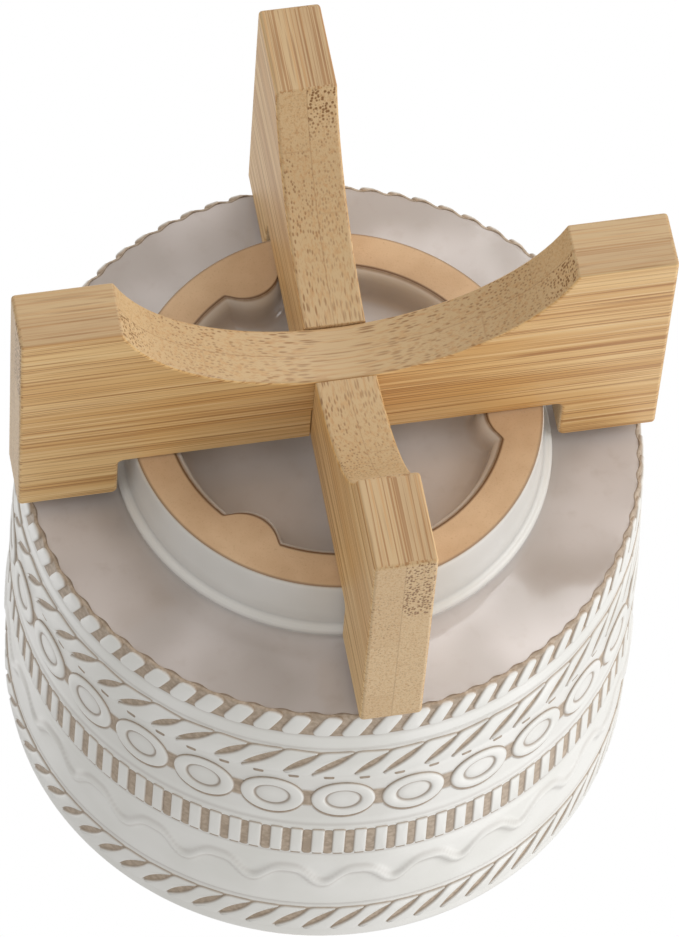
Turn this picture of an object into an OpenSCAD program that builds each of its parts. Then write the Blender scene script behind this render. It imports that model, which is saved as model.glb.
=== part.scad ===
// Open ceramic crock for fermenting, standing on a half-lapped cross of two bamboo boards.
// Upright, +Z up, with the origin on the floor under the middle of the cross. Millimetres.

/* [Crock] */
// Radius of the body at its base edge
base_r = 100; // [90:1:110]
// Radius of the body at its widest, just under the lip
shoulder_r = 104; // [101:1:112]
// Height of the wall, from the base edge to the rim
wall_h = 145; // [110:1:200]
// Thickness of the wall
wall_t = 7; // [6:0.5:9]
// Thickness of the floor outside the foot ring
floor_t = 9; // [7:0.5:14]
// Radius of the cove where the wall meets the floor inside
cove_r = 12; // [6:1:16]

/* [Foot ring] */
// Outer radius of the foot ring
foot_r = 66.8; // [55:0.2:68]
// Inner radius of the foot ring
foot_inner_r = 54; // [45:0.5:54]
// Height of the foot ring under the base
foot_h = 24; // [18:0.5:30]
// Depth of the recess inside the foot ring
recess_h = 12; // [6:0.5:14]
// Radius of the bead at the root of the foot ring
bead_r = 3; // [2:0.5:4]
// Number of lobes on the inside of the foot ring
lobe_count = 3; // [3:1:6]
// Radius of one lobe
lobe_r = 10.5; // [8:0.5:11]
// How far a lobe reaches in from the inner radius
lobe_reach = 7; // [4:0.5:8]
// Direction of the first lobe, in degrees from +X
lobe_turn = 70; // [0:5:115]

/* [Stand] */
// Half of a board's length
board_half = 104; // [96:1:112]
// Thickness of a board
board_t = 20; // [16:0.5:24]
// Height from the floor to the seat that carries the foot ring
seat_z = 76; // [60:1:90]
// Height of a board's end lugs above the seat
lug_h = 19; // [8:0.5:20]
// Length of a foot, and of the lug above it
foot_len = 32.2; // [26:0.1:34]
// Height of the arch between the feet
arch_h = 43; // [30:1:46]
// Half width of the ellipse that the arch is part of
arch_a = 75.5; // [73:0.5:86]
// Straight pieces in the arch outline
arch_steps = 48; // [24:4:80]

/* [Lid] */
// Radius of the lid's top board
lid_r = 101; // [100.5:0.5:103]
// Thickness of the lid's top board
lid_t = 7; // [6:0.5:14]
// Radius of the plug that drops into the mouth
plug_r = 92; // [86:0.5:93]
// Depth of the plug
plug_h = 10; // [9:0.5:14]
// Height of the knob
knob_h = 26; // [20:1:34]
// Radius of the knob's head
knob_r = 16; // [12:0.5:20]

/* [Weights] */
// Radius of the pair of half-moon weights
weight_r = 80; // [66:1:80]
// Thickness of a weight
weight_t = 15; // [10:1:22]
// Gap between the two weights
weight_gap = 3; // [1:0.5:6]
// Radius of a weight's finger hole
finger_r = 9; // [6:0.5:12]

/* [Fits] */
// Sideways clearance on each side of a board in the other board's slot
lap_gap = 0.25; // [0.15:0.05:0.5]
// Upright clearance between faces that rest on each other
rest_gap = 0.05; // [0.02:0.01:0.1]
// Radial clearance between the seal's lips and the mouth
seal_gap = 0.4; // [0.3:0.1:1]

/* [Hidden] */
$fn = 96;

// Heights that follow from the driving dimensions
foot_z = seat_z + rest_gap;
base_z = foot_z + foot_h;
recess_z = foot_z + recess_h;
floor_z = base_z + floor_t;
rim_z = base_z + wall_h;
lug_z = seat_z + lug_h;
lap_z = (arch_h + seat_z) / 2;

// Wall outline
lip_r = wall_t / 2;
edge_r = 2.5;
wall_steps = 12;
arc_steps = 6;
inner_base_r = base_r - wall_t + 1;
inner_rim_r = shoulder_r - wall_t;
lip_x = shoulder_r - lip_r;
lip_z = rim_z - lip_r;

// Stand outline
foot_in = board_half - foot_len;
arch_b = arch_h / (1 - sqrt(1 - pow(foot_in / arch_a, 2)));

// Lid heights
lid_z = rim_z + rest_gap;
plug_z = lid_z - plug_h;
lid_top_z = lid_z + lid_t;
lid_edge_r = 5;
lid_corner = 0.4;
groove_h = 4;
groove_d = 2.5;
groove_z = plug_z + 3;
lip_t = 1;
lip_reach = inner_rim_r - seal_gap;

// Screw
shank_r = 2.4;
shank_clear = 0.3;
thread_clear = 0.05;
head_r = 4.8;
head_h = 2.8;
thread_len = 14;

// Weights
weight_z = floor_z + rest_gap;
weight_edge = 3;
finger_x = weight_r * 0.47;

function arc(cx, cz, r, from, to, steps) = [
    for (i = [0 : steps])
        let (a = from + (to - from) * i / steps)
        [cx + r * cos(a), cz + r * sin(a)]
];

// Radius of the outer wall at share u of its height
function wall_radius(u) = base_r + (shoulder_r - base_r) * sin(90 * min(1, u / 0.85));

function arch_z(x) = arch_h - arch_b + arch_b * sqrt(1 - pow(x / arch_a, 2));

module turned(points) {
    rotate_extrude($fn = 128) polygon(points);
}

module wall_shell() {
    outer = [
        for (i = [1 : wall_steps])
            let (u = i / wall_steps * (lip_z - base_z) / wall_h)
            [wall_radius(u), base_z + u * wall_h]
    ];
    lip = arc(lip_x, lip_z, lip_r, 0, 180, 2 * arc_steps);
    cove_x = inner_base_r - cove_r;
    turned(concat(
        [[0, base_z]],
        arc(base_r - edge_r, base_z + edge_r, edge_r, -90, -10, arc_steps),
        outer,
        lip,
        [[inner_rim_r, lip_z - 18]],
        arc(cove_x, floor_z + cove_r, cove_r, 0, -90, arc_steps),
        [[0, floor_z]]
    ));
}

module foot_bead() {
    turned(concat(
        [[foot_r - 4, base_z + 1], [foot_r - 4, base_z - bead_r]],
        arc(foot_r, base_z, bead_r, -90, 0, arc_steps),
        [[foot_r + bead_r, base_z + 1]]
    ));
}

module lobes() {
    for (i = [0 : lobe_count - 1])
        rotate([0, 0, lobe_turn + i * 360 / lobe_count])
            translate([foot_inner_r - lobe_reach + lobe_r, 0, foot_z - 1])
                cylinder(r = lobe_r, h = recess_h + 1);
}

module crock_body() {
    color("ivory") difference() {
        union() {
            wall_shell();
            translate([0, 0, foot_z]) cylinder(r = foot_r, h = foot_h + 1);
            foot_bead();
        }
        difference() {
            translate([0, 0, foot_z - 1]) cylinder(r = foot_inner_r, h = recess_h + 1);
            lobes();
        }
    }
}

module half_moon(side) {
    r = weight_edge;
    difference() {
        intersection() {
            turned(concat(
                [[0, weight_z]],
                arc(weight_r - r, weight_z + r, r, -90, 0, arc_steps),
                arc(weight_r - r, weight_z + weight_t - r, r, 0, 90, arc_steps),
                [[0, weight_z + weight_t]]
            ));
            translate([side > 0 ? weight_gap / 2 : -weight_r - 1, -weight_r - 1, weight_z - 1])
                cube([weight_r + 1 - weight_gap / 2, 2 * weight_r + 2, weight_t + 2]);
        }
        translate([side * finger_x, 0, weight_z - 1]) cylinder(r = finger_r, h = weight_t + 2);
    }
}

module weight_left() {
    color("gainsboro") half_moon(-1);
}

module weight_right() {
    color("gainsboro") half_moon(1);
}

module lid_board() {
    color("burlywood") difference() {
        turned(concat(
            [[0, plug_z], [plug_r, plug_z]],
            [[plug_r, groove_z], [plug_r - groove_d, groove_z]],
            [[plug_r - groove_d, groove_z + groove_h], [plug_r, groove_z + groove_h]],
            [[plug_r, lid_z]],
            [[lid_r - lid_corner, lid_z], [lid_r, lid_z + lid_corner]],
            arc(lid_r - lid_edge_r, lid_top_z - lid_edge_r, lid_edge_r, 0, 90, arc_steps),
            [[0, lid_top_z]]
        ));
        translate([0, 0, plug_z - 1]) cylinder(r = shank_r + shank_clear, h = plug_h + lid_t + 2);
        translate([0, 0, plug_z - 1]) cylinder(r = head_r + shank_clear, h = head_h + 1);
    }
}

module lid_seal() {
    root_z = groove_z + rest_gap;
    top_z = groove_z + groove_h - rest_gap;
    color("whitesmoke") turned([
        [plug_r - groove_d + rest_gap, root_z],
        [lip_reach, root_z],
        [lip_reach, root_z + lip_t],
        [plug_r + lip_t, root_z + lip_t],
        [plug_r + lip_t, top_z - lip_t],
        [lip_reach, top_z - lip_t],
        [lip_reach, top_z],
        [plug_r - groove_d + rest_gap, top_z]
    ]);
}

module lid_knob() {
    z0 = lid_top_z;
    r = 4;
    color("burlywood") difference() {
        turned(concat(
            [[0, z0], [knob_r * 0.72, z0], [knob_r * 0.72, z0 + 2]],
            arc(knob_r * 0.98, z0 + 9, knob_r * 0.42, 230, 150, arc_steps),
            arc(knob_r - r, z0 + knob_h - r - 5, r, -50, 0, 4),
            arc(knob_r - r, z0 + knob_h - r, r, 0, 90, arc_steps),
            [[0, z0 + knob_h]]
        ));
        translate([0, 0, z0 - 1]) cylinder(r = shank_r + thread_clear, h = thread_len + 2);
    }
}

module knob_screw() {
    head_z = plug_z + 0.2;
    color("silver") difference() {
        union() {
            translate([0, 0, head_z]) cylinder(r = head_r, h = head_h - 0.4);
            translate([0, 0, head_z]) cylinder(r = shank_r, h = lid_top_z + thread_len - head_z);
        }
        for (turn = [0, 90])
            rotate([0, 0, turn])
                translate([-2.6, -0.5, head_z - 1]) cube([5.2, 1, 2.4]);
    }
}

module board_outline() {
    arch = [
        for (i = [0 : arch_steps])
            let (x = -foot_in + 2 * foot_in * i / arch_steps)
            [x, arch_z(x)]
    ];
    polygon(concat(
        [[-board_half, 0]],
        arch,
        [[board_half, 0], [board_half, lug_z], [foot_in, lug_z], [foot_in, seat_z]],
        [[-foot_in, seat_z], [-foot_in, lug_z], [-board_half, lug_z]]
    ));
}

module board() {
    rotate([90, 0, 0])
        translate([0, 0, -board_t / 2])
            linear_extrude(board_t) board_outline();
}

module slot(from_z, to_z) {
    half = board_t / 2 + lap_gap;
    translate([-half, -half, from_z]) cube([2 * half, 2 * half, to_z - from_z]);
}

module stand_board_lower() {
    color("goldenrod") difference() {
        board();
        slot(lap_z, seat_z + 1);
    }
}

module stand_board_upper() {
    color("goldenrod") rotate([0, 0, 90]) difference() {
        board();
        slot(-1, lap_z + rest_gap);
    }
}

crock_body();
weight_left();
weight_right();
lid_board();
lid_seal();
lid_knob();
knob_screw();
stand_board_lower();
stand_board_upper();
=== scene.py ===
"""The looks of the crock fermenter on its bamboo cross stand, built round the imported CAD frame."""

import math

import bmesh
import bpy
import numpy as np
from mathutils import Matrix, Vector


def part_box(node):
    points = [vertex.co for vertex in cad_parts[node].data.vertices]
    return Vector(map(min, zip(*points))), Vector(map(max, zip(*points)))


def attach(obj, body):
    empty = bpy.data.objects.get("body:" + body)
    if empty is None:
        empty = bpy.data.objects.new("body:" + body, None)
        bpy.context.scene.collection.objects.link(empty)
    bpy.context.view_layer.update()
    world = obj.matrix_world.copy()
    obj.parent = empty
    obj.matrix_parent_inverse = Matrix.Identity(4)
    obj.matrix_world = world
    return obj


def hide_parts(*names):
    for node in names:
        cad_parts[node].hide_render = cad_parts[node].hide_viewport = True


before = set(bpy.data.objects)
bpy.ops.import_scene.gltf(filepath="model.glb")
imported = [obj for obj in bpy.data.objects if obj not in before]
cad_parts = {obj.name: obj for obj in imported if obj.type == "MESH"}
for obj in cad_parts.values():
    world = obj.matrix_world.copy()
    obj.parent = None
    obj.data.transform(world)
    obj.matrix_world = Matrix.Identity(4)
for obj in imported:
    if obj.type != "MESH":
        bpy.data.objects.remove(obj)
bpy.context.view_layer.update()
MM = 0.001
TAU = 2 * math.pi
rng = np.random.default_rng(7)

# Sizes of the crock in millimetres. Heights called s are measured up the wall from the base edge.
FOOT_H = 24.0
RECESS_H = 12.0
BASE_R = 100.0
SHOULDER_R = 104.0
SHOULDER_SHARE = 0.85
WALL_T = 7.0
FLOOR_T = 9.0
COVE_R = 12.0
FOOT_R = 66.8
FOOT_IN_R = 54.0
EDGE_R = 0.9
PATTERN_R = 103.0
CROCK_LOW, CROCK_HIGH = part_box("crock_body")
FOOT_Z = CROCK_LOW.z / MM
RIM_Z = CROCK_HIGH.z / MM
BASE_Z = FOOT_Z + FOOT_H
FLOOR_Z = BASE_Z + FLOOR_T
WALL_H = RIM_Z - BASE_Z
COLUMNS = 560
THETA = np.arange(COLUMNS) / COLUMNS * TAU
GLAZED = 0
BARE = 1

# The lobes on the foot ring's inner edge
LOBE_R = 11.6
LOBE_CENTRE_R = 59.4
LOBE_TURNS = (70, 190, 310)

# The bands round the wall, from the base edge to the rim, as heights s
ROPE_LOW = (0.3, 10.6)
PLAIN_BAND = (11.4, 18.9)
LEAF_BAND = (20.2, 35.6)
CHAIN_BAND = (37, 62)
RING_S = 49.3
LINE_S = 67.4
DASH_BAND = (68.5, 83.8)
WAVE_BAND = (86, 116)
WAVE_S = 99.6
WAVE_DROP = 4.2
WAVE_RISE = 8.8
WAVE_POWER = 1.7
WAVE_TURN = math.radians(2.6)
ROPE_TOP = (121.6, 137.0)
GROOVE_S = 119.9
RING_COUNT = 28
DASH_COUNT = 95
ROPE_TOP_COUNT = 70
RING_START = math.radians(-83.1)
RING_STEP = TAU / RING_COUNT
ROPE_LOW_START = math.radians(-95.5)
DASH_START = math.radians(-98.1)
ROPE_TOP_START = math.radians(-96.0)

# The beads along the base edge sit closer together on one side of the crock
BEAD_CLOSE_STEP = math.radians(4.5)
BEAD_WIDE_STEP = math.radians(5.45)
BEAD_SIDE_COUNT = 18
BEAD_BACK_COUNT = 37
SCALLOP = 0.45

# Sizes of the stand's boards in millimetres
FOOT_LENGTH = 32.2
ARCH_H = 43.0
ARCH_CURVE = 75.5
ARCH_STEPS = 64
LAP_GAP = 0.25
REST_GAP = 0.05
LUG_CORNER_R = 2.2
SEAT_CORNER_R = 2.0
BOARD_BEVEL = 1.3

# Shares of the boards' bevel along their outline
OUTER_BEVEL = 1.0
FOOT_TIP_BEVEL = 0.6
SLOT_BEVEL = 0.2
NO_BEVEL = 0.0


# ---------------------------------------------------------------- node helpers


class Nodes:
    """A material's node tree with short calls for the nodes that this script uses."""

    def __init__(self, name):
        self.material = bpy.data.materials.new(name)
        self.material.use_nodes = True
        self.tree = self.material.node_tree
        self.tree.nodes.clear()
        self.output = self.add("ShaderNodeOutputMaterial")

    def add(self, kind, inputs=None, **settings):
        node = self.tree.nodes.new(kind)
        for key, value in settings.items():
            setattr(node, key, value)
        for key, value in (inputs or {}).items():
            self.put(node, key, value)
        return node

    def put(self, node, key, value):
        if isinstance(value, bpy.types.NodeSocket):
            self.tree.links.new(value, node.inputs[key])
        else:
            node.inputs[key].default_value = value

    def math(self, operation, a, b=0.0, clamp=False):
        return self.add("ShaderNodeMath", {0: a, 1: b}, operation=operation, use_clamp=clamp).outputs[0]

    def times(self, a, b, clamp=False):
        return self.math("MULTIPLY", a, b, clamp)

    def plus(self, a, b):
        return self.math("ADD", a, b)

    def minus(self, a, b, clamp=False):
        return self.math("SUBTRACT", a, b, clamp)

    def absolute(self, value):
        return self.math("ABSOLUTE", value)

    def mix(self, factor, a, b):
        inputs = {0: factor, 6: a, 7: b}
        return self.add("ShaderNodeMix", inputs, data_type="RGBA").outputs[2]

    def step(self, value, low, high):
        """0 at low and 1 at high, smooth between. low may be the larger of the two."""
        inputs = {0: value, 1: min(low, high), 2: max(low, high)}
        inputs.update({3: float(low > high), 4: float(low < high)})
        return self.add("ShaderNodeMapRange", inputs, interpolation_type="SMOOTHSTEP").outputs[0]

    def noise(self, vector, scale, detail=3.0, roughness=0.55):
        inputs = {"Vector": vector, "Scale": scale, "Detail": detail, "Roughness": roughness}
        return self.add("ShaderNodeTexNoise", inputs).outputs[0]

    def cells(self, vector, randomness):
        """The distance to the nearest of a scatter of points, about one point to each unit of vector."""
        inputs = {"Vector": vector, "Scale": 1.0, "Randomness": randomness}
        return self.add("ShaderNodeTexVoronoi", inputs).outputs["Distance"]

    def chance(self, key):
        """A fixed number between 0 and 1 for each value of key."""
        return self.add("ShaderNodeTexWhiteNoise", {"W": key}, noise_dimensions="1D").outputs[0]

    def attribute(self, name):
        return self.add("ShaderNodeAttribute", attribute_name=name).outputs["Fac"]

    def split(self, vector):
        return self.add("ShaderNodeSeparateXYZ", {0: vector}).outputs

    def place(self):
        """The point's place in the object, in millimetres."""
        spot = self.add("ShaderNodeTexCoord").outputs["Object"]
        return self.add("ShaderNodeVectorMath", {0: spot, 3: 1000.0}, operation="SCALE").outputs[0]

    def facing(self):
        """The direction that the surface faces in the object."""
        return self.add("ShaderNodeTexCoord").outputs["Normal"]

    def bump(self, height, distance_mm, strength=1.0):
        inputs = {"Height": height, "Distance": distance_mm * MM, "Strength": strength}
        return self.add("ShaderNodeBump", inputs).outputs[0]

    def finish(self, **inputs):
        shader = self.add("ShaderNodeBsdfPrincipled")
        for key, value in inputs.items():
            self.put(shader, key.replace("_", " "), value)
        self.tree.links.new(shader.outputs[0], self.output.inputs[0])
        return self.material


def rgb(red, green, blue):
    """A linear colour from the three sRGB levels, 0 to 255."""

    def linear(level):
        x = level / 255
        return x / 12.92 if x <= 0.04045 else ((x + 0.055) / 1.055) ** 2.4

    return (linear(red), linear(green), linear(blue), 1.0)


# ---------------------------------------------------------------- materials


def glaze_material():
    """White glaze, thin and brown in the recesses (wash), glossy grey-taupe under the base (tone), and
    darkened by painted shade (shade).
    """
    n = Nodes("crock_glaze")
    place = n.place()
    wash = n.attribute("wash")
    tone = n.attribute("tone")
    shade = n.attribute("shade")
    # White on the wall, taupe under the base, brown where the glaze is thin
    speckle = n.noise(place, 0.55, 4.0)
    cloud = n.noise(place, 0.035, 2.0)
    white = n.mix(n.step(cloud, 0.35, 0.65), rgb(225, 224, 219), rgb(231, 230, 226))
    # Painted shade: the shade attribute greys the white glaze
    white = n.mix(n.times(shade, 0.6), white, rgb(186, 180, 174))
    brown = n.mix(n.step(speckle, 0.3, 0.7), rgb(160, 141, 120), rgb(190, 172, 152))
    taupe_cloud = n.noise(place, 0.02, 2.0, 0.45)
    taupe = n.mix(n.step(taupe_cloud, 0.36, 0.64), rgb(177, 168, 162), rgb(207, 200, 197))
    fine = n.noise(place, 0.16, 3.0)
    taupe = n.mix(n.times(n.step(fine, 0.5, 0.8), 0.2), taupe, rgb(166, 150, 138))
    colour = n.mix(tone, white, taupe)
    broken = n.times(wash, n.plus(n.times(speckle, 0.5), 0.8), clamp=True)
    colour = n.mix(broken, colour, brown)
    # Dark brown where wash and shade are both high: thin dark lines in the ring grooves and along the base
    # edge, and the painted shadows
    colour = n.mix(n.times(n.times(wash, shade), 0.85), colour, rgb(112, 88, 64))
    # Long swells in the glossy glaze and a fine ripple elsewhere
    swell = n.noise(place, 0.018, 2.0)
    ripple = n.noise(place, 0.2, 2.0)
    matt = n.minus(1.0, n.times(tone, 0.9))
    height = n.plus(n.times(n.times(swell, tone), 12.0), n.times(ripple, matt))
    rough = n.plus(n.times(wash, 0.2), 0.3)
    rough = n.minus(rough, n.times(tone, 0.2), clamp=True)
    return n.finish(Base_Color=colour, Roughness=rough, Normal=n.bump(height, 0.12, 0.6), IOR=1.52)


def clay_material():
    """Bare fired clay on the face of the foot ring, with the glaze's brown edge along both sides."""
    n = Nodes("bare_clay")
    place = n.place()
    edge = n.attribute("wash")
    cloud = n.noise(place, 0.05, 3.0)
    grain = n.noise(place, 1.6, 4.0)
    colour = n.mix(n.step(cloud, 0.3, 0.7), rgb(196, 164, 128), rgb(210, 180, 144))
    colour = n.mix(n.times(n.step(grain, 0.55, 0.75), 0.35), colour, rgb(168, 130, 92))
    colour = n.mix(edge, colour, rgb(104, 74, 46))
    rough = n.minus(0.72, n.times(edge, 0.35))
    return n.finish(Base_Color=colour, Roughness=rough, Normal=n.bump(grain, 0.15, 0.6))


class Bamboo:
    """What a board of two glued plies of bamboo strips has at each point. fibre, across and stack are the
    indices of the axes along the fibres, through the plies and up the strips."""

    strip_height = 31.0
    ply_shift = 13.0

    def __init__(self, n, fibre, across, stack):
        self.n = n
        place = n.split(n.place())
        self.u = place[fibre]
        self.w = place[across]
        self.v = place[stack]
        facing = n.split(n.facing())
        self.flank = n.step(n.absolute(facing[across]), 0.6, 0.85)
        self.end_face = n.step(n.absolute(facing[fibre]), 0.7, 0.9)
        self.narrow = n.step(n.absolute(facing[stack]), 0.45, 0.8)
        self.ply = n.math("GREATER_THAN", self.w, 0.0)
        shifted = n.plus(self.v, n.times(self.ply, self.ply_shift))
        self.strip_pos = n.math("DIVIDE", shifted, self.strip_height)
        key = n.plus(n.times(n.math("FLOOR", self.strip_pos), 3.7), n.times(self.ply, 11.3))
        self.strip_chance = n.chance(key)
        self.strip_tint = n.chance(n.plus(key, 5.1))

    def along(self, scale_u, scale_cross, shift):
        """The point's place, squeezed along the fibres and shifted from strip to strip."""
        n = self.n
        parts = {
            0: n.times(self.u, scale_u),
            1: n.plus(n.times(self.w, scale_cross), n.times(self.strip_chance, shift)),
            2: n.times(self.v, scale_cross),
        }
        return n.add("ShaderNodeCombineXYZ", parts).outputs[0]

    def dots(self):
        """Fibre bundles where a cut crosses them, in dense strips next to plain ones."""
        n = self.n
        side = n.times(n.absolute(self.w), 0.1, clamp=True)
        dense = n.times(n.step(self.strip_chance, 0.35, 0.95), n.plus(n.times(side, 0.6), 0.4))
        outer_strip = n.times(n.math("LESS_THAN", self.v, self.strip_height), n.minus(1.0, self.ply))
        outer_end = n.times(outer_strip, self.end_face)
        dense = n.math("MAXIMUM", dense, n.times(outer_end, 1.6))
        distance = n.cells(self.along(0.03, 1.0, 40), 0.75)
        bundle = n.step(n.minus(distance, n.times(outer_end, 0.14)), 0.42, 0.18)
        share = n.plus(n.times(dense, 0.5), n.plus(n.times(self.narrow, 0.12), 0.26))
        return n.times(n.times(bundle, share, clamp=True), self.off_flank())

    def pores(self):
        n = self.n
        pore = n.step(n.cells(self.along(0.05, 1.9, 70), 1.0), 0.4, 0.15)
        return n.times(n.times(pore, 0.3), self.off_flank())

    def off_flank(self):
        return self.n.minus(1.0, self.n.times(self.flank, 0.85))

    def seams(self):
        """Glue lines between the plies and, faintly, between the strips."""
        n = self.n
        between_plies = n.step(n.absolute(self.w), 0.3, 0.08)
        fraction = n.absolute(n.minus(n.math("FRACT", self.strip_pos), 0.5))
        between_strips = n.times(n.step(fraction, 0.49, 0.499), 0.18)
        return n.math("MAXIMUM", n.times(between_plies, 0.28), between_strips)


def bamboo_material(name, fibre, across, stack, sole_lines=0.6):
    """Glued bamboo, with dots on its cut ends and streaks along its faces. sole_lines is how strongly the
    streaks show where the board stands on the floor."""
    n = Nodes(name)
    wood = Bamboo(n, fibre, across, stack)
    streak = n.noise(wood.along(0.009, 0.9, 30), 1.0, 3.0, 0.7)
    line = n.noise(wood.along(0.007, 1.3, 50), 1.0, 1.0, 0.5)
    band = n.noise(wood.along(0.004, 0.11, 90), 1.0, 2.0, 0.5)
    # The plain colours of cut ends, broad faces and narrow faces
    cut = n.mix(n.times(wood.strip_tint, 0.5), rgb(210, 181, 138), rgb(198, 166, 122))
    face = n.mix(n.step(band, 0.38, 0.62), rgb(230, 194, 136), rgb(214, 170, 108))
    colour = n.mix(wood.flank, cut, face)
    colour = n.mix(n.times(wood.narrow, 0.75), colour, rgb(184, 154, 112))
    # Dark and light streaks along the fibres
    sole = n.times(n.times(wood.narrow, n.step(wood.v, 1.6, 0.8)), sole_lines)
    on_face = n.plus(n.times(wood.flank, 0.6), n.plus(n.times(sole, 0.5), 0.4))
    streaks = [
        (streak, 0.5, 0.62, n.times(on_face, 0.72), rgb(186, 134, 74)),
        (line, 0.57, 0.64, n.times(on_face, 0.75), rgb(166, 114, 60)),
        (line, 0.4, 0.33, n.times(wood.flank, 0.6), rgb(236, 206, 156)),
        (line, 0.54, 0.6, sole, rgb(150, 108, 62)),
    ]
    for field, low, high, share, tint in streaks:
        colour = n.mix(n.times(n.step(field, low, high), share), colour, tint)
    dot = wood.dots()
    seam = wood.seams()
    colour = n.mix(wood.pores(), colour, rgb(166, 126, 80))
    colour = n.mix(dot, colour, rgb(136, 98, 56))
    colour = n.mix(seam, colour, rgb(140, 98, 55))
    relief = n.minus(n.times(line, 0.6), n.plus(dot, seam))
    rough = n.plus(n.times(streak, 0.2), 0.36)
    return n.finish(Base_Color=colour, Roughness=rough, Normal=n.bump(relief, 0.1, 0.5))


def plain_material(name, colour, roughness, metallic=0.0, grain_mm=1.0, grain_depth=0.02):
    """A surface of one colour with a fine or soft grain: silicone, brushed steel or the weights' glaze."""
    n = Nodes(name)
    grain = n.noise(n.place(), 1.0 / grain_mm, 3.0)
    darker = tuple(level * 0.7 for level in colour[:3]) + (1,)
    shaded = n.mix(n.times(n.step(grain, 0.35, 0.7), 0.18), colour, darker)
    rough = n.plus(n.times(grain, 0.12), roughness)
    bump = n.bump(grain, grain_depth, 0.6)
    return n.finish(Base_Color=shaded, Roughness=rough, Metallic=metallic, Normal=bump)


# ---------------------------------------------------------------- mesh helpers


class Shape:
    """Vertices with their wash, tone and shade values, and faces with a material index."""

    def __init__(self):
        self.points = []
        self.values = []
        self.faces = []
        self.materials = []
        self.count = 0

    def add_points(self, points, wash=0.0, tone=0.0, shade=0.0):
        points = np.asarray(points, float).reshape(-1, 3)
        values = np.zeros((len(points), 3))
        for column, value in enumerate((wash, tone, shade)):
            values[:, column] = value
        self.points.append(points)
        self.values.append(values)
        first = self.count
        self.count += len(points)
        return np.arange(first, self.count)

    def bridge(self, low, high, material=0):
        """Quads between two closed loops of vertex numbers."""
        for a, b, c, d in zip(low, np.roll(low, -1), np.roll(high, -1), high):
            self.faces.append((int(a), int(b), int(c), int(d)))
            self.materials.append(material)

    def fan(self, loop, centre, material=0):
        for a, b in zip(loop, np.roll(loop, -1)):
            self.faces.append((int(a), int(b), int(centre)))
            self.materials.append(material)

    def build(self, name, materials):
        mesh = bpy.data.meshes.new(name)
        points = np.concatenate(self.points) * MM
        mesh.from_pydata(points.tolist(), [], self.faces)
        values = np.concatenate(self.values)
        for i, label in enumerate(("wash", "tone", "shade")):
            layer = mesh.attributes.new(label, "FLOAT", "POINT")
            layer.data.foreach_set("value", values[:, i].astype(np.float32))
        for material in materials:
            mesh.materials.append(material)
        mesh.polygons.foreach_set("material_index", self.materials)
        mesh.polygons.foreach_set("use_smooth", [True] * len(mesh.polygons))
        mesh.validate()
        mesh.update()
        obj = bpy.data.objects.new(name, mesh)
        bpy.context.scene.collection.objects.link(obj)
        return obj


def smooth(x):
    x = np.clip(x, 0.0, 1.0)
    return x * x * (3 - 2 * x)


# ---------------------------------------------------------------- the crock


def wall_radius(s):
    """Radius of the plain outer wall at height s. It widens from the rounded base edge to the shoulder."""
    share = np.clip(s / WALL_H / SHOULDER_SHARE, 0, 1)
    radius = BASE_R + (SHOULDER_R - BASE_R) * np.sin(math.pi / 2 * share)
    below = np.clip((EDGE_R - s) / EDGE_R, 0, 1)
    return radius - EDGE_R * (1 - np.sqrt(1 - below**2))


def on_wall(theta, s, h):
    """Points at turn theta, height s and h millimetres out of the wall."""
    tilt = np.arcsin(np.clip((EDGE_R - s) / EDGE_R, 0, 1) * 0.9)
    r = wall_radius(s) + h * np.cos(tilt)
    z = BASE_Z + s - h * np.sin(tilt)
    return np.stack([r * np.cos(theta), r * np.sin(theta), z], -1)


def bead_turns():
    """Turns of the beads along the base edge: a close side, a wide side and the back between them."""
    close_side = ROPE_LOW_START - BEAD_CLOSE_STEP * np.arange(BEAD_SIDE_COUNT, 0, -1)
    wide_side = ROPE_LOW_START + BEAD_WIDE_STEP * np.arange(BEAD_SIDE_COUNT)
    back_step = (close_side[0] + TAU - wide_side[-1]) / BEAD_BACK_COUNT
    back_side = wide_side[-1] + back_step * np.arange(1, BEAD_BACK_COUNT)
    return np.concatenate([close_side, wide_side, back_side])


BEADS = bead_turns()


def bead_swell(theta):
    """1 at the middle of each bead of the base edge and -1 between two beads."""
    ends = np.append(BEADS, BEADS[0] + TAU)
    away = (theta - BEADS[0]) % TAU + BEADS[0]
    return np.cos(TAU * np.interp(away, ends, np.arange(len(ends))))


def wave_line(theta):
    """Height of the low wave's crest line, with broad arches and narrow troughs towards the rim."""
    phase = RING_COUNT * (theta - RING_START - WAVE_TURN)
    return WAVE_S - WAVE_DROP + WAVE_RISE * ((1 + np.cos(phase)) / 2) ** WAVE_POWER


def bell(distance, width):
    return np.exp(-((distance / width) ** 2))


def in_wave_band(s):
    return WAVE_BAND[0] < s < WAVE_BAND[1]


def wall_relief(theta, s):
    """How far the moulded wall stands out between the separate ornaments."""
    low, high = PLAIN_BAND
    plain = 0.35 * smooth((s - low) / 1.6) * smooth((high - s) / 1.6)
    line = 0.3 * bell(s - LINE_S, 0.8)
    slope = (wave_line(theta + 0.004) - wave_line(theta - 0.004)) / (0.008 * PATTERN_R)
    d = (s - wave_line(theta)) / np.sqrt(1 + slope**2)
    shelf = 0.3 * smooth((1.5 - d) / 4.0) * smooth((s - 87.0) / 3.0)
    ridge = 1.2 * bell(d, 1.9) + shelf
    groove = -0.35 * bell(s - GROOVE_S, 0.6)
    scallop = SCALLOP * bead_swell(theta) * smooth((4.0 - s) / 4.0)
    return plain + line + ridge * in_wave_band(s) + groove + scallop


def wall_wash(s):
    """1 in the three bands where brown glaze lies between the ornaments."""
    beads = s < ROPE_LOW[1] + 0.4
    leaves = LEAF_BAND[0] + 1.4 < s < LEAF_BAND[1] - 1.8
    rope = ROPE_TOP[0] + 0.9 < s < ROPE_TOP[1] - 0.9
    return 1.0 if beads or leaves or rope else 0.0


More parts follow.
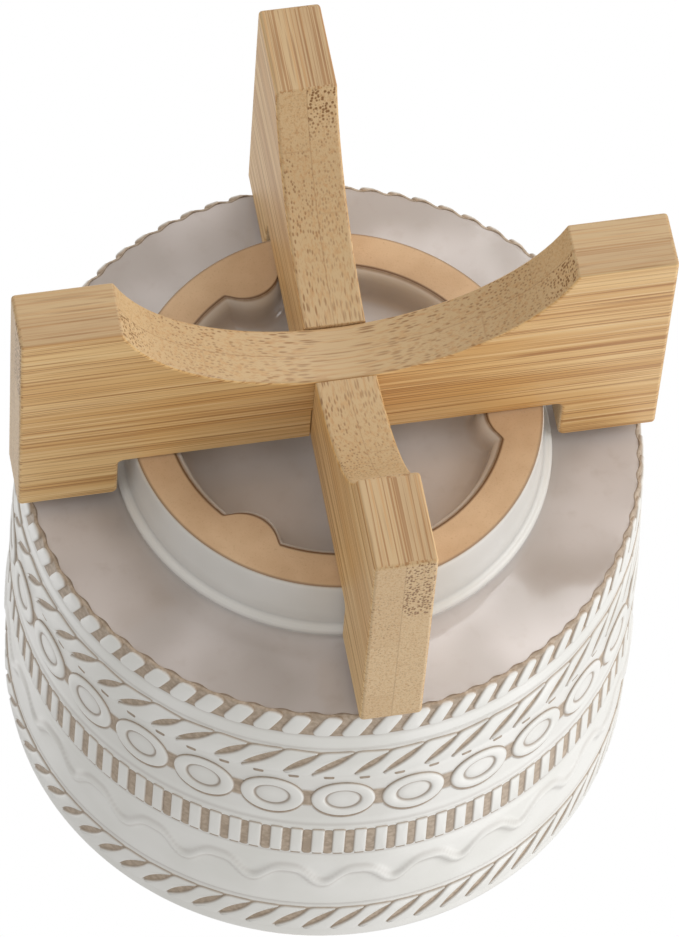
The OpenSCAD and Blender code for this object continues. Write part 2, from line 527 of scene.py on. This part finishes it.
def wall_shade(s):
    """Painted shade at height s: a little over the chain band, more along the bands' edges and in the
    groove under the rim.
    """
    shade = 0.15 if CHAIN_BAND[0] < s < CHAIN_BAND[1] else 0.0
    for edge in (PLAIN_BAND[0], PLAIN_BAND[1] + 0.4, LINE_S - 1.2, DASH_BAND[1] + 1.8):
        shade = max(shade, 0.8 * bell(s - edge, 0.6))
    return max(shade, 0.8 * bell(s - GROOVE_S, 0.7))


def wave_shade(s):
    """Painted shade at height s on both sides of the wave's crest line."""
    off_wave = s - wave_line(THETA)
    return (bell(off_wave - 2.8, 1.2) + 0.7 * bell(off_wave + 2.8, 1.1)) * in_wave_band(s)


def wall_rows():
    """Heights of the wall's rows, close together where the relief changes."""
    # Lower end, upper end and number of rows of each stretch
    stretches = [
        (0.0, 1.2, 5), (1.2, 10.4, 7), (10.4, 13.4, 6), (13.4, 17.0, 3), (17.0, 20.6, 7),
        (20.6, 35.2, 12), (35.2, 37.0, 3), (37.0, 61.5, 12), (61.5, 66.0, 3), (66.0, 69.2, 8),
        (69.2, 84.8, 8), (84.8, 88.0, 4), (88.0, 110.0, 30), (110.0, 118.5, 5), (118.5, 121.4, 7),
        (121.4, 136.8, 12), (136.8, 139.0, 4),
    ]
    rows = []
    for low, high, steps in stretches:
        rows += list(np.linspace(low, high, steps, endpoint=False))
    top = stretches[-1][1]
    return np.array(rows + [top])


def inner_foot_radius(theta):
    """The foot ring's inner edge, with three round lobes and a soft corner at each lobe's root."""
    blend = 5.0
    no_lobe = 80.0
    radius = np.full_like(theta, FOOT_IN_R)
    for turn in LOBE_TURNS:
        away = (theta - math.radians(turn) + math.pi) % TAU - math.pi
        reach = np.clip(LOBE_R**2 - (LOBE_CENTRE_R * np.sin(away)) ** 2, 0, None)
        lobe = LOBE_CENTRE_R * np.cos(away) - np.sqrt(reach)
        lobe = np.where(np.abs(away) < 0.3, lobe, no_lobe)
        soft = np.clip(0.5 + (radius - lobe) / blend, 0, 1)
        radius = radius * (1 - soft) + lobe * soft - blend / 2 * soft * (1 - soft)
    return radius


class Skin:
    """The crock's surface as loops of points, from the middle of its recess to the middle of its floor."""

    def __init__(self, shape):
        self.shape = shape
        self.loops = []
        self.materials = []

    def loop(self, points, wash, tone, shade, material=GLAZED):
        self.loops.append(self.shape.add_points(points, wash, tone, shade))
        self.materials.append(material)

    def ring(self, r, z, wash=0.0, tone=0.0, shade=0.0, material=GLAZED):
        r = np.broadcast_to(r, THETA.shape)
        z = np.broadcast_to(z, THETA.shape)
        self.loop(np.stack([r * np.cos(THETA), r * np.sin(THETA), z], -1), wash, tone, shade, material)

    def close(self, low_z, low_tone, high_z):
        """Joins the loops and closes both ends of the row with a fan round a middle point."""
        low_centre = self.shape.add_points([[0, 0, low_z]], 0, low_tone, 0)[0]
        self.shape.fan(self.loops[0][::-1], low_centre)
        for low, high, material in zip(self.loops, self.loops[1:], self.materials):
            self.shape.bridge(low, high, material)
        high_centre = self.shape.add_points([[0, 0, high_z]])[0]
        self.shape.fan(self.loops[-1], high_centre)


def recess_rings(skin, inner, recess_z):
    """The recess under the crock, from near its middle to the foot ring's inner edge."""
    for share, drop in [(0.15, 0.0), (0.5, 0.0), (0.75, 0.1), (0.87, 0.3)]:
        skin.ring(inner * share, recess_z - drop, 0, 0.85)
    # Inset from the foot ring's inner edge, height and tone
    roll = [
        (4.4, recess_z - 0.8, 0.95),
        (3.4, recess_z - 2.4, 0.9),
        (2.9, recess_z - 5.0, 0.8),
        (2.5, FOOT_Z + 4.2, 0.6),
        (2.1, FOOT_Z + 2.6, 0.4),
        (1.5, FOOT_Z + 1.5, 0.35),
        (0.8, FOOT_Z + 0.8, 0.4),
    ]
    # Each ring of the roll also takes a touch of brown wash and a faint painted shade
    for inset, z, tone in roll:
        skin.ring(inner - inset, z, 0.05, tone, 0.1)


def foot_face_rings(skin, inner):
    """The foot ring's bare face, with the glaze's brown edge along both sides."""
    skin.ring(inner - 0.15, FOOT_Z + 0.4, 0.9, 0.6, 0.5)
    skin.ring(inner + 0.15, FOOT_Z + 0.12, 1.0, 0.5, 0.5, BARE)
    skin.ring(inner + 0.55, FOOT_Z, 0.9, material=BARE)
    skin.ring(inner + 1.1, FOOT_Z, 0.1, material=BARE)
    skin.ring((inner + FOOT_R) / 2, FOOT_Z, material=BARE)
    skin.ring(FOOT_R - 1.3, FOOT_Z, material=BARE)
    skin.ring(FOOT_R - 0.8, FOOT_Z + 0.03, 0.45, material=BARE)
    skin.ring(FOOT_R - 0.4, FOOT_Z + 0.25, 0.8)
    skin.ring(FOOT_R - 0.12, FOOT_Z + 0.7, 0.25)


def foot_wall_rings(skin):
    """The foot ring's outer wall and the round step where it meets the base."""
    # Painted shade darkens the top of the wall and the round step where it meets the base
    for out, up in [(0.0, 1.6), (0.0, 5), (0.1, 10), (0.3, 15), (0.8, 18), (1.4, 19.2), (1.2, 19.9)]:
        skin.ring(FOOT_R + out, FOOT_Z + up, 0, 0.12, 0.4 * (up > 17.5))
    step_r = 1.9
    for i, degrees in enumerate(np.linspace(-75, 75, 9)):
        turn = math.radians(degrees)
        z = min(BASE_Z - 2.0 + step_r * math.sin(turn), BASE_Z - 0.1)
        skin.ring(FOOT_R + 2.2 + step_r * math.cos(turn), z, 0, 0.06 * i, 0.08 * i * (i > 5))
    skin.ring(FOOT_R + 4.2, BASE_Z - 0.05, 0, 0.75, 0.5)
    skin.ring(FOOT_R + 6.5, BASE_Z, 0, 0.95, 0.1)


def base_rings(skin):
    """The glazed ring round the foot, out to the brown line that follows the beads."""
    for r in (78, 86, 92, 96.5, 97.7):
        skin.ring(r, BASE_Z, 0, 1)
    sway = SCALLOP * bead_swell(THETA)
    skin.ring(98.6 + sway, BASE_Z + 0.02, 0.1, 1, 0.2)
    skin.ring(98.85 + sway, BASE_Z + 0.01, 1.0, 0.8, 1)


def outer_wall_rings(skin):
    for s in wall_rows():
        spots = on_wall(THETA, np.full_like(THETA, s), wall_relief(THETA, s))
        skin.loop(spots, wall_wash(s), 0, np.maximum(wall_shade(s), wave_shade(s)))


def inside_rings(skin):
    """The round lip, the inner wall, the cove at its foot and the floor."""
    lip_r = WALL_T / 2
    lip_z = RIM_Z - lip_r
    for turn in np.linspace(math.pi * -0.04, math.pi, 11):
        skin.ring(SHOULDER_R - lip_r + lip_r * math.cos(turn), lip_z + lip_r * math.sin(turn))
    mouth_r = SHOULDER_R - WALL_T
    foot_r = BASE_R - WALL_T + 1
    cove_z = FLOOR_Z + COVE_R
    skin.ring(mouth_r, lip_z - 6)
    for share in (0.25, 0.5, 0.75):
        skin.ring(mouth_r * (1 - share) + foot_r * share, (lip_z - 18) * (1 - share) + cove_z * share)
    for turn in np.linspace(0, -math.pi / 2, 8):
        skin.ring(foot_r - COVE_R + COVE_R * math.cos(turn), cove_z + COVE_R * math.sin(turn))
    for r in (60, 30, 8):
        skin.ring(r, FLOOR_Z)


def make_crock_wall(shape):
    """The crock without its ornaments, as one closed skin."""
    skin = Skin(shape)
    inner = inner_foot_radius(THETA)
    recess_z = FOOT_Z + RECESS_H
    recess_rings(skin, inner, recess_z)
    foot_face_rings(skin, inner)
    foot_wall_rings(skin)
    base_rings(skin)
    outer_wall_rings(skin)
    inside_rings(skin)
    skin.close(recess_z, 0.85, FLOOR_Z)


# ---------------------------------------------------------------- the crock's ornaments

# Sections of the raised ornaments, from the buried skirt to the top.
# Each row is the inset from the outline, the height, the wash and the shade.
PILLOW = [
    (-0.5, -0.7, 1.0, 0.0),
    (-0.3, -0.02, 0.95, 0.2),
    (-0.12, 0.14, 0.85, 0.2),
    (0.05, 0.42, 0.3, 0.15),
    (0.28, 0.58, 0.0, 0.0),
    (0.7, 0.66, 0.0, 0.0),
]
SLAB = [
    (-0.5, -0.7, 1.0, 0.0),
    (-0.3, -0.02, 0.9, 0.1),
    (-0.12, 0.14, 0.75, 0.2),
    (0.05, 0.42, 0.25, 0.15),
    (0.28, 0.58, 0.0, 0.0),
    (0.5, 0.63, 0.0, 0.0),
]
# Sections of thin patches on the wall: brown glaze between ornaments (CHAIN_PATCH, SLOT_FLOOR, with
# painted shade at the slot's edge) and painted shadows on the rim side of slabs and rings (SHADOW,
# RING_SHADOW)
CHAIN_PATCH = [(-0.1, -0.5, 0.0, 0.0), (0.0, 0.02, 0.0, 0.0), (1.3, 0.05, 1.0, 0.0)]
SLOT_FLOOR = [(-0.1, -0.5, 0.6, 0.5), (0.0, 0.02, 0.8, 0.6), (0.4, 0.05, 1.0, 0.0)]
SHADOW = [(-0.1, -0.5, 0.3, 0.0), (0.0, 0.02, 0.4, 0.2), (0.3, 0.05, 0.9, 0.6)]
RING_SHADOW = [(-0.1, -0.5, 0.0, 0.0), (0.0, 0.02, 0.0, 0.2), (0.7, 0.05, 0.9, 0.4), (1.5, 0.06, 1.0, 0.6)]
# Section of one ring of the chain: radius, height, wash, shade
RING = [
    (11.3, -0.8, 0.9, 0.0), (11.1, -0.02, 0.75, 0.3), (10.8, 0.1, 0.9, 0.4), (10.5, 0.42, 0.35, 0.2),
    (10.2, 0.66, 0.0, 0.0), (9.6, 0.76, 0.0, 0.0), (8.2, 0.8, 0.0, 0.0), (6.8, 0.74, 0.0, 0.0),
    (6.4, 0.62, 0.0, 0.2), (6.05, 0.34, 0.4, 0.6), (5.75, 0.2, 0.6, 0.9), (5.35, 0.28, 0.2, 0.8),
    (4.9, 0.38, 0.0, 0.3), (2.8, 0.44, 0.0, 0.15),
]


def outline_normals(outline):
    """Outward unit normals of a closed outline that runs counter-clockwise."""
    along = np.roll(outline, -1, 0) - np.roll(outline, 1, 0)
    normal = np.stack([along[:, 1], -along[:, 0]], -1)
    return normal / np.linalg.norm(normal, axis=1, keepdims=True)


def counter_clockwise(outline):
    x = outline[:, 0]
    y = outline[:, 1]
    area = np.sum(x * np.roll(y, -1) - np.roll(x, -1) * y)
    return outline if area > 0 else outline[::-1]


def add_pillow(shape, turn, outline, section=PILLOW, scale=1.0):
    """A raised ornament on the wall: a closed shell with a rounded edge, at angle turn.
    outline holds (millimetres along the wall, height s)."""
    outline = counter_clockwise(np.asarray(outline, float))
    normal = outline_normals(outline)
    middle = outline.mean(0)

    def put(flat, h, wash, shade):
        spots = on_wall(turn + flat[:, 0] / PATTERN_R, flat[:, 1], np.full(len(flat), h * scale))
        return shape.add_points(spots, wash, 0, shade)

    loops = [put(outline - normal * inset, h, wash, shade) for inset, h, wash, shade in section]
    for low, high in zip(loops, loops[1:]):
        shape.bridge(low, high)
    _, top, top_wash, _ = section[-1]
    shape.fan(loops[-1], put(middle[None], top, top_wash, 0)[0])
    shape.fan(loops[0][::-1], put(middle[None], section[0][1], 1, 0)[0])


def unit(vector):
    return vector / np.linalg.norm(vector)


def corner_reach(before, here, after, radius):
    """How far from a corner its rounding starts, along both sides."""
    half = math.acos(np.clip(unit(before - here) @ unit(after - here), -1, 1)) / 2
    return radius / math.tan(half)


def rounded_polygon(corners, radius, arc=4, side=3):
    """A closed outline with round corners and a few points along each side."""
    corners = counter_clockwise(np.asarray(corners, float))
    points = []
    total = len(corners)
    for i in range(total):
        before, here, after, following = (corners[(i + shift) % total] for shift in (-1, 0, 1, 2))
        reach = corner_reach(before, here, after, radius)
        start = here + unit(before - here) * reach
        end = here + unit(after - here) * reach
        for t in np.linspace(0, 1, arc):
            points.append((1 - t) ** 2 * start + 2 * t * (1 - t) * here + t**2 * end)
        stop = after + unit(here - after) * corner_reach(here, after, following, radius)
        for t in np.linspace(0, 1, side + 2)[1:-1]:
            points.append(end + (stop - end) * t)
    return np.array(points)


def box_outline(half_width, low, high, radius, arc=4, side=3):
    corners = [(-half_width, low), (half_width, low), (half_width, high), (-half_width, high)]
    return rounded_polygon(corners, radius, arc, side)


def lens_edge(tip, end, bow):
    """One side of a lens-shaped gap, from its rim end to its base end, bowed sideways at its middle.
    At the gap's ends the neighbouring slabs run into each other."""
    tip = np.asarray(tip, float)
    end = np.asarray(end, float)
    along = end - tip
    across = unit(np.array([along[1], -along[0]]))
    t = np.linspace(0.03, 0.97, 15)[:, None]
    overlap = math.copysign(0.3, bow)
    return tip + along * t + across * ((bow + overlap) * np.sin(math.pi * t) ** 0.8 - overlap)


def slab_between(right_gap, left_gap, half_gap):
    """The raised slab between two slanting gaps, each given as (rim end, base end)."""
    right = lens_edge(*right_gap, half_gap)
    left = lens_edge(*left_gap, -half_gap)[::-1]
    base = np.linspace(right[-1], left[0], 8)[1:-1]
    rim = np.linspace(left[-1], right[0], 8)[1:-1]
    outline = np.concatenate([right, base, left, rim])
    for _ in range(2):
        outline = (np.roll(outline, 1, 0) + outline * 2 + np.roll(outline, -1, 0)) / 4
    return outline


def add_ring(shape, turn, scale):
    """One ring of the chain, with a thin groove round its low inner disc."""
    around = np.arange(52) / 52 * TAU
    squash = 0.955
    relief = 1.2
    loops = []
    for rho, h, wash, shade in RING:
        # The skirt reaches further towards the rim, so that its brown shows as a painted shadow line under
        # the ring
        skirt_shift = 0.45 if rho > 10.7 else 0.0
        x = rho * scale * np.cos(around)
        s = RING_S + skirt_shift + rho * scale * squash * np.sin(around)
        spots = on_wall(turn + x / PATTERN_R, s, np.full_like(x, h * relief))
        loops.append(shape.add_points(spots, wash, 0, shade))
    for low, high in zip(loops, loops[1:]):
        shape.bridge(low, high)
    for loop, h in ((loops[-1], 0.45), (loops[0][::-1], -0.8)):
        centre = shape.add_points(on_wall(np.array([turn]), np.array([RING_S]), np.array([h])))[0]
        shape.fan(loop, centre)


def add_beads(shape):
    """Rope of short leaning beads along the base edge."""
    low, high = ROPE_LOW
    width_share = 0.34
    usual_lean = 2.4
    steps = np.diff(BEADS, append=BEADS[0] + TAU)
    for middle, step in zip(BEADS, steps):
        wide = width_share * step * BASE_R + rng.uniform(-0.15, 0.15)
        lean = usual_lean + rng.uniform(-0.2, 0.2)
        corners = [(-wide - lean, low), (wide - lean, low), (wide + lean, high), (-wide + lean, high)]
        turn = middle + rng.uniform(-0.03, 0.03) * step
        add_pillow(shape, turn, rounded_polygon(corners, 2.0, 5, 2), scale=1.25)


def add_leaves(shape):
    """Slanting slabs with lens-shaped gaps, two to each ring, and short dashes of painted shadow on their
    rim side.
    """
    half_gap = 1.6
    degree = PATTERN_R * TAU / 360
    # Where the two gaps of one ring start and end along the wall
    short_rim = -1.1 * degree
    short_base = -8.4 * degree
    long_rim = -5.9 * degree
    long_base = -15.0 * degree
    pitch = RING_STEP * PATTERN_R
    for i in range(RING_COUNT):
        turn = RING_START + i * RING_STEP
        shift = rng.uniform(-0.25, 0.25, 4)
        short_gap = ((short_rim + shift[0], 34.9), (short_base + shift[1], 21.0))
        long_gap = ((long_rim + shift[2], 36.0), (long_base + shift[3], 20.0))
        next_short = ((short_rim - pitch, 34.9), (short_base - pitch, 21.0))
        add_pillow(shape, turn, slab_between(short_gap, long_gap, half_gap), SLAB, 1.2)
        add_pillow(shape, turn, slab_between(long_gap, next_short, half_gap), SLAB, 1.2)
        for away, s in ((3.6, 36.8), (10.0, 36.6)):
            corners = [(-1.9, s - 0.6), (2.0, s - 0.5), (1.5, s + 1.0), (-1.7, s + 0.9)]
            add_pillow(shape, turn - math.radians(away), rounded_polygon(corners, 0.5, 3, 2), SHADOW)


def add_chain(shape):
    """Chain of rings, with the glaze brown where they meet and a painted shadow along each ring's rim
    side.
    """
    around = np.arange(48) / 48 * TAU
    under = np.stack([10.9 * np.cos(around), RING_S + 1.3 + 11.1 * np.sin(around)], -1)
    patch = box_outline(3.0, RING_S - 5.0, RING_S + 5.6, 1.5)
    for i in range(RING_COUNT):
        turn = RING_START + i * RING_STEP
        add_ring(shape, turn, 0.985 + rng.uniform(-0.01, 0.01))
        add_pillow(shape, turn, under, RING_SHADOW)
        add_pillow(shape, turn + RING_STEP / 2, patch, CHAIN_PATCH)


def add_upright_slabs(shape):
    """Upright slabs with a brown slot between each two, and a short shadow at each slab's rim end."""
    low, high = DASH_BAND
    pitch = TAU / DASH_COUNT * PATTERN_R
    slot = box_outline(1.55, low + 1.2, high + 1.2, 1.45, 5, 3) + (pitch / 2, 0)
    shadow = box_outline(1.6, high - 0.1, high + 1.5, 0.4, 3, 2)
    for i in range(DASH_COUNT):
        turn = DASH_START + (i + rng.uniform(-0.03, 0.03)) / DASH_COUNT * TAU
        wide = 1.9 + rng.uniform(-0.08, 0.08)
        add_pillow(shape, turn, box_outline(wide, low + 0.9, high, 0.6, 3, 3), SLAB)
        add_pillow(shape, turn, slot, SLOT_FLOOR)
        add_pillow(shape, turn, shadow, SHADOW)


def add_rim_rope(shape):
    """Rope of long slanting slabs under the rim."""
    low, high = ROPE_TOP
    pitch = TAU / ROPE_TOP_COUNT * PATTERN_R
    lean = 6.3
    gap = ((lean, high), (-lean, low))
    next_gap = ((lean - pitch, high), (-lean - pitch, low))
    for i in range(ROPE_TOP_COUNT):
        turn = ROPE_TOP_START + (i + rng.uniform(-0.03, 0.03)) / ROPE_TOP_COUNT * TAU
        half_gap = 1.65 + rng.uniform(-0.08, 0.08)
        add_pillow(shape, turn, slab_between(gap, next_gap, half_gap), SLAB, 1.2)


def make_crock(glaze, clay):
    shape = Shape()
    make_crock_wall(shape)
    add_beads(shape)
    add_leaves(shape)
    add_chain(shape)
    add_upright_slabs(shape)
    add_rim_rope(shape)
    crock = shape.build("crock", [glaze, clay])
    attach(crock, "crock")
    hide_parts("crock_body")


# ---------------------------------------------------------------- the stand


def arc_points(x, z, radius, start, end):
    """Five points on an arc round (x, z), from one turn to another in degrees."""
    turns = np.radians(np.linspace(start, end, 5))
    return [(x + radius * math.cos(turn), z + radius * math.sin(turn), NO_BEVEL) for turn in turns]


def arch_height(x, foot_in):
    """Height of the arch under a board at x. The arch is part of an ellipse and starts at foot_in."""
    rise = ARCH_H / (1 - math.sqrt(1 - (foot_in / ARCH_CURVE) ** 2))
    return ARCH_H - rise + rise * math.sqrt(1 - (x / ARCH_CURVE) ** 2)


def slot_points(slot_half, open_z, end_z):
    """The half-lap slot's four corners, from right to left."""
    corners = [(slot_half, open_z), (slot_half, end_z), (-slot_half, end_z), (-slot_half, open_z)]
    return [(x, z, SLOT_BEVEL) for x, z in corners]


def arch_points(foot_in):
    """The arch from its left foot to its right foot."""
    points = []
    for i in range(ARCH_STEPS + 1):
        x = -foot_in + 2 * foot_in * i / ARCH_STEPS
        share = FOOT_TIP_BEVEL if i in (0, ARCH_STEPS) else NO_BEVEL
        points.append((x, arch_height(x, foot_in), share))
    return points


def board_outline(half, lug_z, slot_half, open_top):
    """A board's outline in its own plane, counter-clockwise from its right foot, with its half-lap slot.
    Gives x, z and the bevel's share at each point."""
    foot_in = half - FOOT_LENGTH
    seat_z = FOOT_Z - REST_GAP
    lap_z = (ARCH_H + seat_z) / 2
    outline = [(half, 0, OUTER_BEVEL), (half, lug_z, OUTER_BEVEL)]
    outline += arc_points(foot_in + LUG_CORNER_R, lug_z - LUG_CORNER_R, LUG_CORNER_R, 90, 180)
    outline += arc_points(foot_in - SEAT_CORNER_R, seat_z + SEAT_CORNER_R, SEAT_CORNER_R, 0, -90)
    if open_top:
        outline += slot_points(slot_half, seat_z, lap_z)
    outline += arc_points(-foot_in + SEAT_CORNER_R, seat_z + SEAT_CORNER_R, SEAT_CORNER_R, -90, -180)
    outline += arc_points(-foot_in - LUG_CORNER_R, lug_z - LUG_CORNER_R, LUG_CORNER_R, 0, 90)
    outline += [(-half, lug_z, OUTER_BEVEL), (-half, 0, OUTER_BEVEL)]
    arch = arch_points(foot_in)
    if open_top:
        return outline + arch
    left = [point for point in arch if point[0] <= -slot_half]
    right = [point for point in arch if point[0] >= slot_half]
    slot = slot_points(slot_half, arch_height(slot_half, foot_in), lap_z)[::-1]
    return outline + left + slot + right


def board_mesh(name, outline, thick, along_y):
    """A board of the outline's shape with a bevel weight on every edge. thick is half its thickness."""
    bm = bmesh.new()
    weight = bm.edges.layers.float.new("bevel_weight_edge")

    def spot(x, depth, z):
        return Vector((-depth, x, z) if along_y else (x, depth, z)) * MM

    front = [bm.verts.new(spot(x, -thick, z)) for x, z, _ in outline]
    back = [bm.verts.new(spot(x, thick, z)) for x, z, _ in outline]
    shares = [share for _, _, share in outline]
    bm.faces.new(front[::-1])
    bm.faces.new(back)
    for i in range(len(outline)):
        j = (i + 1) % len(outline)
        bm.faces.new((front[i], front[j], back[j], back[i]))
        in_slot = shares[i] == SLOT_BEVEL and shares[j] == SLOT_BEVEL
        for ring in (front, back):
            bm.edges.get((ring[i], ring[j]))[weight] = SLOT_BEVEL if in_slot else OUTER_BEVEL
        bm.edges.get((front[i], back[i]))[weight] = shares[i]
    bmesh.ops.recalc_face_normals(bm, faces=bm.faces)
    mesh = bpy.data.meshes.new(name)
    bm.to_mesh(mesh)
    bm.free()
    return mesh


def make_board(name, body, along_y, open_top, material):
    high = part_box(name)[1]
    half = (high.y if along_y else high.x) / MM
    thick = (high.x if along_y else high.y) / MM
    outline = board_outline(half, high.z / MM, thick + LAP_GAP, open_top)
    mesh = board_mesh(name + "_shown", outline, thick, along_y)
    mesh.materials.append(material)
    for polygon in mesh.polygons:
        polygon.use_smooth = True
    board = bpy.data.objects.new(name + "_shown", mesh)
    bpy.context.scene.collection.objects.link(board)
    bevel = board.modifiers.new("edges", "BEVEL")
    bevel.limit_method = "WEIGHT"
    bevel.width = BOARD_BEVEL * MM
    bevel.segments = 3
    bevel.harden_normals = True
    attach(board, body)
    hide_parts(name)


# ---------------------------------------------------------------- lid and weights


def dress(node, material, bevel_mm=0.0):
    """Gives a CAD node its material and, if asked, softened edges."""
    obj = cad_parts[node]
    obj.data.materials.clear()
    obj.data.materials.append(material)
    for polygon in obj.data.polygons:
        polygon.material_index = 0
    if bevel_mm:
        bevel = obj.modifiers.new("edges", "BEVEL")
        bevel.limit_method = "ANGLE"
        bevel.angle_limit = math.radians(35)
        bevel.width = bevel_mm * MM
        bevel.segments = 3


# ---------------------------------------------------------------- camera, lights and floor


def make_camera():
    """A view from below and in front, with the crock's base up in the picture. Gives its directions."""
    turn = math.radians(14.443)
    rise = math.radians(58.955)
    roll = math.radians(-5.031)
    distance = 2319.2
    right_of_middle = 2.3
    up_of_middle = -7.33
    back = Vector((math.cos(rise) * math.sin(turn), -math.cos(rise) * math.cos(turn), -math.sin(rise)))
    level_right = Vector((-math.cos(turn), -math.sin(turn), 0))
    level_up = back.cross(level_right)
    right = level_right * math.cos(roll) - level_up * math.sin(roll)
    up = level_right * math.sin(roll) + level_up * math.cos(roll)
    data = bpy.data.cameras.new("camera")
    data.lens = 276.39
    data.sensor_width = 36.0
    data.clip_start = 0.1
    data.clip_end = 20.0
    camera = bpy.data.objects.new("camera", data)
    bpy.context.scene.collection.objects.link(camera)
    spot = Vector((0, 0, BASE_Z)) + back * distance + right * right_of_middle + up * up_of_middle
    matrix = camera.matrix_world.copy()
    for row in range(3):
        matrix[row] = (right[row], up[row], back[row], spot[row] * MM)
    camera.matrix_world = matrix
    bpy.context.scene.camera = camera
    return back, right, up


def area_light(name, direction, size, power):
    """A soft square light that shines on the crock's middle. Its size is in metres."""
    distance = 1.6
    middle = Vector((0, 0, 0.12))
    data = bpy.data.lights.new(name, "AREA")
    data.energy = power
    data.size = size
    light = bpy.data.objects.new(name, data)
    bpy.context.scene.collection.objects.link(light)
    direction = Vector(direction).normalized()
    light.location = direction * distance + middle
    light.rotation_mode = "QUATERNION"
    light.rotation_quaternion = direction.to_track_quat("Z", "Y")
    light.visible_camera = False


def make_world(bright_side):
    """A soft room, brighter on one side, behind a plain white backdrop."""
    world = bpy.data.worlds.new("studio")
    bpy.context.scene.world = world
    world.use_nodes = True
    tree = world.node_tree
    tree.nodes.clear()
    output = tree.nodes.new("ShaderNodeOutputWorld")
    backdrop = tree.nodes.new("ShaderNodeBackground")
    backdrop.inputs["Color"].default_value = (1, 1, 1, 1)
    backdrop.inputs["Strength"].default_value = 1.0
    glow = tree.nodes.new("ShaderNodeBackground")
    glow.inputs["Color"].default_value = (1, 0.99, 0.975, 1)
    spot = tree.nodes.new("ShaderNodeTexCoord")
    towards = tree.nodes.new("ShaderNodeVectorMath")
    towards.operation = "DOT_PRODUCT"
    towards.inputs[1].default_value = bright_side.normalized()
    strength = tree.nodes.new("ShaderNodeMapRange")
    for key, value in {"From Min": -1.0, "From Max": 1.0, "To Min": 0.51, "To Max": 0.99}.items():
        strength.inputs[key].default_value = value
    path = tree.nodes.new("ShaderNodeLightPath")
    mix = tree.nodes.new("ShaderNodeMixShader")
    tree.links.new(spot.outputs["Generated"], towards.inputs[0])
    tree.links.new(towards.outputs["Value"], strength.inputs["Value"])
    tree.links.new(strength.outputs[0], glow.inputs["Strength"])
    tree.links.new(path.outputs["Is Camera Ray"], mix.inputs[0])
    tree.links.new(glow.outputs[0], mix.inputs[1])
    tree.links.new(backdrop.outputs[0], mix.inputs[2])
    tree.links.new(mix.outputs[0], output.inputs[0])
    bpy.context.scene.view_settings.view_transform = "Standard"


def make_floor():
    """A pale floor that only shows from above. The view from below and its lights pass through it."""
    n = Nodes("floor")
    from_below = n.add("ShaderNodeNewGeometry").outputs["Backfacing"]
    plain = n.add("ShaderNodeBsdfDiffuse", {"Color": rgb(238, 237, 235)}).outputs[0]
    clear = n.add("ShaderNodeBsdfTransparent").outputs[0]
    mix = n.add("ShaderNodeMixShader", {0: from_below, 1: plain, 2: clear})
    n.tree.links.new(mix.outputs[0], n.output.inputs[0])
    mesh = bpy.data.meshes.new("floor")
    reach = 3.0
    corners = [(-reach, -reach, 0), (reach, -reach, 0), (reach, reach, 0), (-reach, reach, 0)]
    mesh.from_pydata(corners, [], [(0, 1, 2, 3)])
    mesh.materials.append(n.material)
    floor = bpy.data.objects.new("floor", mesh)
    bpy.context.scene.collection.objects.link(floor)
    floor.visible_shadow = False
    floor.visible_diffuse = False
    floor.visible_glossy = False
    floor.visible_transmission = False


# ---------------------------------------------------------------- the scene

back, right, up = make_camera()
make_world(right + up * 0.2)
make_floor()
area_light("key", back * 0.45 + right * 0.9 + up * 0.2, 1.0, 7.5)
area_light("sheen", Vector((-back.x, -back.y, back.z)) + right * 0.21, 0.5, 3.2)
area_light("fill", back * 0.6 - right * 0.5 + up * 0.7, 1.0, 1.7)
area_light("top_key", (-0.7, -0.8, 0.9), 1.0, 4.0)
area_light("top_fill", (0.8, 0.6, 0.9), 1.0, 2.0)

make_crock(glaze_material(), clay_material())
lower_wood = bamboo_material("bamboo_lower", fibre=0, across=1, stack=2, sole_lines=0.12)
upper_wood = bamboo_material("bamboo_upper", fibre=1, across=0, stack=2)
make_board("stand_board_lower", "stand_lower", along_y=False, open_top=True, material=lower_wood)
make_board("stand_board_upper", "stand_upper", along_y=True, open_top=False, material=upper_wood)
dress("lid_board", bamboo_material("bamboo_lid", fibre=0, across=2, stack=1))
dress("lid_knob", bamboo_material("bamboo_knob", fibre=2, across=0, stack=1))
dress("lid_seal", plain_material("silicone", rgb(225, 224, 220), 0.45))
dress("knob_screw", plain_material("stainless", rgb(190, 190, 192), 0.25, 1.0, 0.5, 0.01))
weight_glaze = plain_material("weight_glaze", rgb(214, 211, 205), 0.15, 0.0, 6.0, 0.05)
dress("weight_left", weight_glaze, 0.8)
dress("weight_right", weight_glaze, 0.8)
